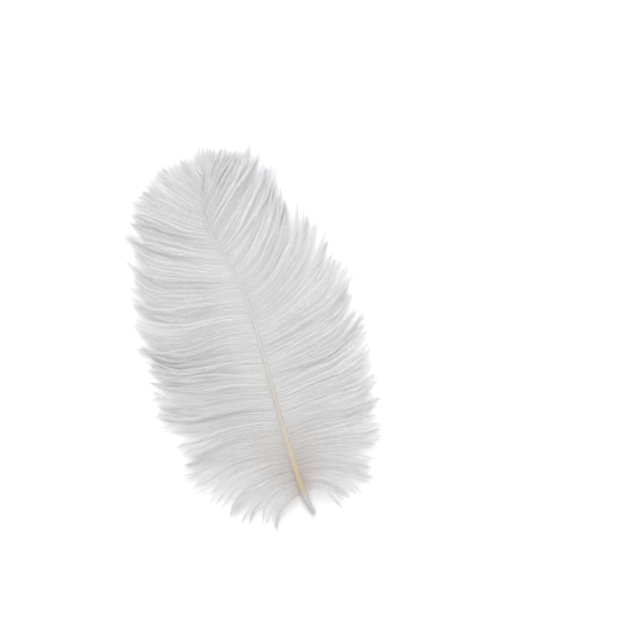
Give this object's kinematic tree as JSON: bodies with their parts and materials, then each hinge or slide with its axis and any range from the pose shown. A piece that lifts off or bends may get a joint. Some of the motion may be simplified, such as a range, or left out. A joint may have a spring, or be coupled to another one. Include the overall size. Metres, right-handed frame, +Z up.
{
  "type": "ostrich feather",
  "caption": "Loose white plume with a bare hollow quill, a grooved curved shaft and soft arching locks of barbs on both sides.",
  "frame": {"origin": "centre of the feather's outline, on the surface that it lies on", "axes": "+Y from the quill's cut end to the plume's tip, +Z up, out of the shaft's grooved side"},
  "size_m": [0.126, 0.2019, 0.0159],
  "materials": {
    "barbs": "matt white keratin barbs, soft and fluffy",
    "quill": "smooth cream horn, paler towards the tip"
  },
  "bodies": {
    "root": {"feather": "barbs"}
  },
  "joints": []
}
